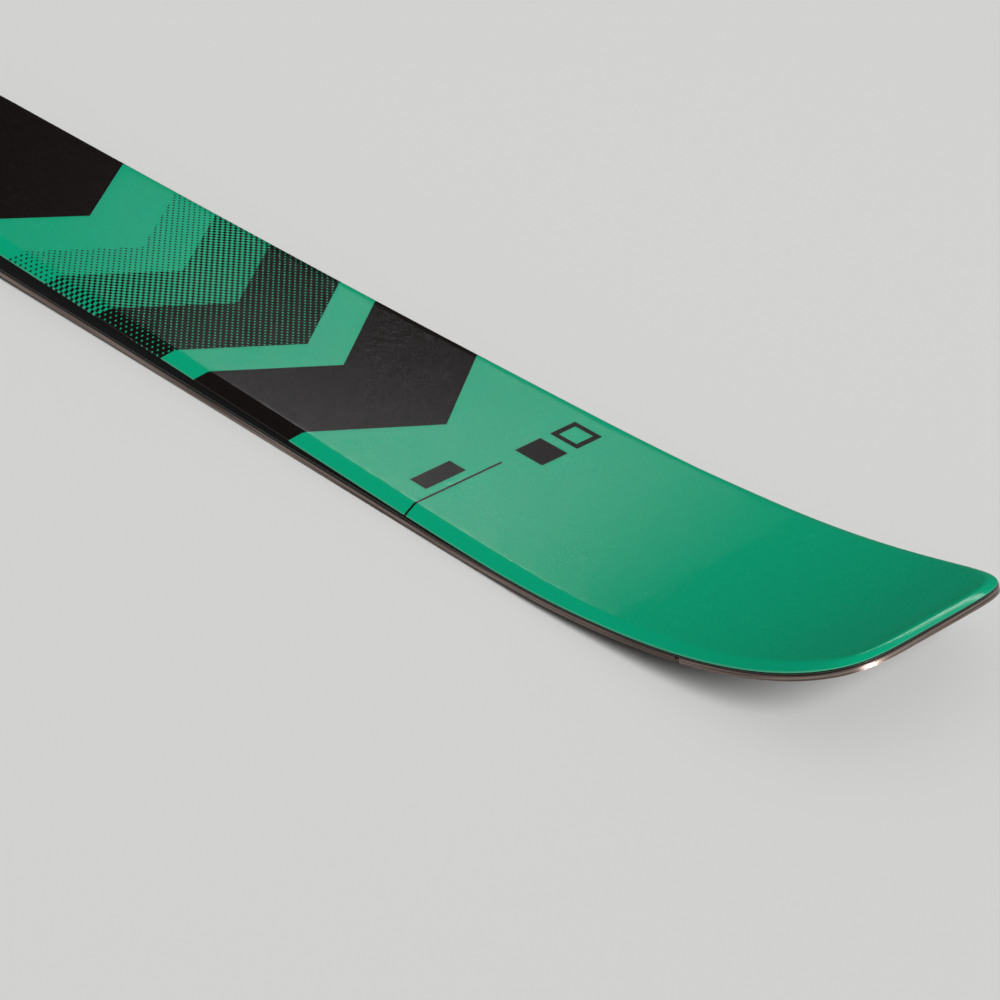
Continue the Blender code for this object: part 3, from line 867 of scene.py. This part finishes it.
def spacer_material():
    m = Shader("black_filler", roughness=0.35, specular=0.15)
    grain = m.noise(m.place(), scale=1500.0, detail=3.0)
    colour = m.mix(grain, srgb(8, 8, 9), srgb(17, 17, 18))
    return m.finish(colour, m.bump(grain, depth=0.00003), m.line(grain, slope=0.2, start=0.2))


GLASS_PITCH = 0.0024
TWILL_PITCH = 0.002
TWILL_REPEAT = 4.0


def laminate_material():
    """Glass fabric in clear resin over the dark core."""
    m = Shader("glass_laminate", roughness=0.3)
    x, y, _ = m.split(m.place())
    turns = 2 * math.pi / GLASS_PITCH
    warp = m.math("SINE", m.math("MULTIPLY", x, turns))
    weft = m.math("SINE", m.math("MULTIPLY", y, turns))
    weave = m.line(m.math("MULTIPLY", warp, weft), slope=0.5, start=0.5)
    fibres = m.noise(m.scaled(m.place(), (300.0, 4000.0, 300.0)), detail=3.0)
    colour = m.mix(weave, srgb(16, 18, 15), srgb(44, 47, 40))
    colour = m.mix(m.math("MULTIPLY", fibres, 0.5), colour, srgb(30, 32, 27))
    return m.finish(colour, m.bump(weave, depth=0.00006), m.line(fibres, slope=0.2, start=0.2))


def carbon_material():
    """Twill of carbon fibre in resin."""
    m = Shader("carbon_twill", roughness=0.3)
    x, y, _ = m.split(m.place())
    column = m.math("FLOOR", m.math("DIVIDE", x, TWILL_PITCH))
    row = m.math("FLOOR", m.math("DIVIDE", y, TWILL_PITCH))
    turn = m.math("FLOORED_MODULO", m.math("ADD", column, row), TWILL_REPEAT)
    over = m.math("LESS_THAN", turn, TWILL_REPEAT / 2)
    along = m.noise(m.scaled(m.place(), (200.0, 9000.0, 200.0)))
    across = m.noise(m.scaled(m.place(), (9000.0, 200.0, 200.0)))
    fibres = m.math("ADD", m.math("MULTIPLY", over, along),
                    m.math("MULTIPLY", m.math("SUBTRACT", 1.0, over), across))
    colour = m.mix(over, srgb(20, 20, 22), srgb(38, 38, 41))
    colour = m.mix(m.math("MULTIPLY", fibres, 0.6), colour, srgb(58, 58, 62))
    return m.finish(colour, m.bump(fibres, depth=0.00005), m.line(fibres, slope=0.2, start=0.2))


def rubber_material():
    m = Shader("black_rubber", roughness=0.8)
    grain = m.noise(m.place(), scale=2200.0, detail=3.0)
    dust = m.noise(m.place(), scale=60.0, detail=4.0)
    colour = m.mix(m.math("MULTIPLY", dust, 0.6), srgb(20, 20, 21), srgb(42, 42, 43))
    return m.finish(colour, m.bump(grain, depth=0.00006), m.line(grain, slope=0.2, start=0.68))


def fleece_material():
    """Pale felted fibres, which lie across the ski more than along it."""
    m = Shader("polyester_fleece", roughness=0.9, specular=0.2)
    hair = m.noise(m.scaled(m.place(), (1600.0, 700.0, 1600.0)), detail=5.0, roughness=0.7)
    felt = m.noise(m.place(), scale=350.0, detail=4.0)
    colour = m.mix(hair, srgb(176, 173, 160), srgb(226, 224, 214))
    colour = m.mix(m.math("MULTIPLY", felt, 0.4), colour, srgb(158, 154, 140))
    return m.finish(colour, m.bump(hair, depth=0.00015), m.line(felt, slope=0.15, start=0.8))


RING_DENSITY = 420.0       # radians of the rings' wave per metre across
RING_DRIFT = 26.0
WOODS = {"pale_wood": (srgb(226, 200, 156), srgb(196, 164, 116), 0.0),
         "dark_wood": (srgb(190, 150, 102), srgb(146, 108, 68), 5.0)}


def wood_material(name):
    """Straight-grained wood with pores; the rings run along the ski."""
    light, dark, seed = WOODS[name]
    m = Shader(name, roughness=0.6, specular=0.3)
    x, y, z = m.split(m.place())
    drift = m.noise(m.join(m.math("ADD", x, seed), m.math("MULTIPLY", y, 6.0), z), scale=2.2)
    across = m.math("ADD", m.math("MULTIPLY", y, RING_DENSITY), m.math("MULTIPLY", drift, RING_DRIFT))
    rings = m.line(m.math("SINE", across), slope=0.5, start=0.5)
    grain = m.noise(m.scaled(m.place(), (30.0, 1600.0, 1600.0)), detail=5.0, roughness=0.6)
    pores = m.noise(m.scaled(m.place(), (160.0, 4200.0, 4200.0)))
    tone = m.math("ADD", m.math("MULTIPLY", rings, 0.45), m.math("MULTIPLY", grain, 0.55))
    dots = m.math("MULTIPLY", m.clamp(m.line(pores, slope=-9.0, start=3.6)), 0.5)
    colour = m.mix(dots, m.mix(tone, dark, light), dark, "MULTIPLY")
    relief = m.bump(m.math("SUBTRACT", tone, dots), depth=0.00008)
    return m.finish(colour, relief, m.line(grain, slope=0.2, start=0.5))


# Floor, surroundings and lamps.
FLOOR_SIZE = 80.0
FLOOR_DROP = -0.0005
FLOOR_COLOUR = srgb(212, 212, 210)
FLOOR_COLOUR_FAR = srgb(208, 208, 207)
SURROUNDINGS = srgb(207, 207, 206)
WORLD_LIGHT = 0.30
LAMP_AIM = Vector((0.6, 0.0, 0.0))
KEY_AZIMUTH = -15.0
KEY_ELEVATION = 38.0
KEY_SHARE = 0.7
KEY_SPREAD = 30.0
KEY_DISTANCE = 4.0
REFLECTOR_DISTANCE = 6.0


def make_floor():
    """Pale floor, open to views from below."""
    mesh = bpy.data.meshes.new("floor")
    size = FLOOR_SIZE / 2
    corners = [(x, y, FLOOR_DROP) for x, y in ((-size, -size), (size, -size), (size, size), (-size, size))]
    mesh.from_pydata(corners, [], [(0, 1, 2, 3)])
    floor = bpy.data.objects.new("floor", mesh)
    bpy.context.scene.collection.objects.link(floor)
    m = Shader("pale_floor", roughness=0.9, specular=0.0)
    cloud = m.noise(m.place(), scale=0.8)
    m.feed(m.out.inputs["Base Color"], m.mix(cloud, FLOOR_COLOUR, FLOOR_COLOUR_FAR))
    clear = m.node("ShaderNodeBsdfTransparent")
    blend = m.node("ShaderNodeMixShader")
    m.feed(blend.inputs[0], m.node("ShaderNodeNewGeometry").outputs["Backfacing"])
    m.feed(blend.inputs[1], m.out.outputs[0])
    m.feed(blend.inputs[2], clear.outputs[0])
    m.feed(m.tree.nodes["Material Output"].inputs["Surface"], blend.outputs[0])
    mesh.materials.append(m.material)


def make_world():
    """Even pale surroundings, seen at their colour and lighting softly."""
    world = bpy.data.worlds.new("studio")
    bpy.context.scene.world = world
    world.use_nodes = True
    tree = world.node_tree
    shown = tree.nodes["Background"]
    shown.inputs["Color"].default_value = SURROUNDINGS
    shown.inputs["Strength"].default_value = 1.0
    lighting = tree.nodes.new("ShaderNodeBackground")
    lighting.inputs["Color"].default_value = (1.0, 1.0, 1.0, 1.0)
    lighting.inputs["Strength"].default_value = WORLD_LIGHT
    path = tree.nodes.new("ShaderNodeLightPath")
    seen = path.outputs["Is Camera Ray"]
    for ray in ("Is Glossy Ray", "Is Transmission Ray"):
        either = tree.nodes.new("ShaderNodeMath")
        either.operation = "MAXIMUM"
        tree.links.new(seen, either.inputs[0])
        tree.links.new(path.outputs[ray], either.inputs[1])
        seen = either.outputs[0]
    blend = tree.nodes.new("ShaderNodeMixShader")
    tree.links.new(seen, blend.inputs[0])
    tree.links.new(lighting.outputs[0], blend.inputs[1])
    tree.links.new(shown.outputs[0], blend.inputs[2])
    tree.links.new(blend.outputs[0], tree.nodes["World Output"].inputs["Surface"])


def heading(azimuth, elevation):
    azimuth, elevation = math.radians(azimuth), math.radians(elevation)
    level = math.cos(elevation)
    return Vector((level * math.cos(azimuth), level * math.sin(azimuth), math.sin(elevation)))


def place_lamp(light, way, distance):
    lamp = bpy.data.objects.new(light.name, light)
    lamp.location = LAMP_AIM + way * distance
    lamp.rotation_mode = "QUATERNION"
    lamp.rotation_quaternion = way.to_track_quat("Z", "Y")
    bpy.context.scene.collection.objects.link(lamp)
    return lamp


def make_key():
    """Wide, even light from beyond the tip, which gives a level surface KEY_SHARE of its light."""
    way = heading(KEY_AZIMUTH, KEY_ELEVATION)
    light = bpy.data.lights.new("key", "SUN")
    light.energy = KEY_SHARE * math.pi / way.z
    light.angle = math.radians(KEY_SPREAD)
    place_lamp(light, way, KEY_DISTANCE).visible_glossy = False


def make_reflector(name, azimuth, elevation, width, height, glow):
    """Panel that shows only in shiny surfaces, at a brightness of glow."""
    light = bpy.data.lights.new(name, "AREA")
    light.shape = "RECTANGLE"
    light.size = width
    light.size_y = height
    light.energy = glow * 4 * width * height
    lamp = place_lamp(light, heading(azimuth, elevation), REFLECTOR_DISTANCE)
    lamp.visible_diffuse = False
    lamp.visible_camera = False


def make_camera():
    """Camera at the photo's view."""
    azimuth, elevation, roll = (math.radians(v) for v in (CAMERA_AZIMUTH, CAMERA_ELEVATION, CAMERA_ROLL))
    ahead = Vector((-math.sin(azimuth) * math.cos(elevation),
                    math.cos(azimuth) * math.cos(elevation), -math.sin(elevation)))
    level = Vector((math.cos(azimuth), math.sin(azimuth), 0))
    up = level.cross(ahead)
    right = level * math.cos(roll) + up * math.sin(roll)
    above = up * math.cos(roll) - level * math.sin(roll)
    lens = bpy.data.cameras.new("camera")
    lens.lens = CAMERA_LENS
    lens.sensor_width = SENSOR
    camera = bpy.data.objects.new("camera", lens)
    place = CAMERA_AIM - ahead * CAMERA_DISTANCE
    camera.matrix_world = Matrix.Translation(place) @ Matrix((right, above, -ahead)).transposed().to_4x4()
    bpy.context.scene.collection.objects.link(camera)
    bpy.context.scene.camera = camera


def give(material, *names):
    """New material on carried-over solids."""
    for name in names:
        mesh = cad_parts[name].data
        mesh.materials.clear()
        mesh.materials.append(material)


def main():
    make_camera()
    bpy.context.scene.view_settings.view_transform = "Standard"
    sidewall = sidewall_material()
    spacer = spacer_material()
    rubber = rubber_material()
    laminate = laminate_material()
    carbon = carbon_material()
    make_topsheet(topsheet_material())
    make_base(base_material())
    make_lower_laminate(laminate)
    make_edges(steel_material())
    for side, node in ((1, "left"), (-1, "right")):
        make_sidewall(f"polished_sidewall_{node}", f"sidewall_{node}", side, sidewall)
        make_foil(f"soft_foil_{node}", f"rubber_foil_{node}", side, rubber)
    make_spacer("moulded_spacer_tip", "tip_spacer", 1, spacer)
    make_spacer("moulded_spacer_tail", "tail_spacer", -1, spacer)
    give(laminate, "upper_laminate")
    give(fleece_material(), "fleece_ply")
    give(carbon, "carbon_stringer_left", "carbon_stringer_right", "binding_plate")
    give(rubber, "stomp_pad")
    woods = [wood_material(name) for name in WOODS]
    strips = [node for node in sorted(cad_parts) if node.startswith("core_strip_")]
    for number, strip in enumerate(strips):
        give(woods[number % len(woods)], strip)
    make_floor()
    make_world()
    make_key()
    make_reflector("sheen", azimuth=119.6, elevation=36.5, width=3.0, height=0.5, glow=54.0)
    make_reflector("edge_glint", azimuth=6.0, elevation=11.0, width=2.0, height=0.8, glow=44.0)


main()
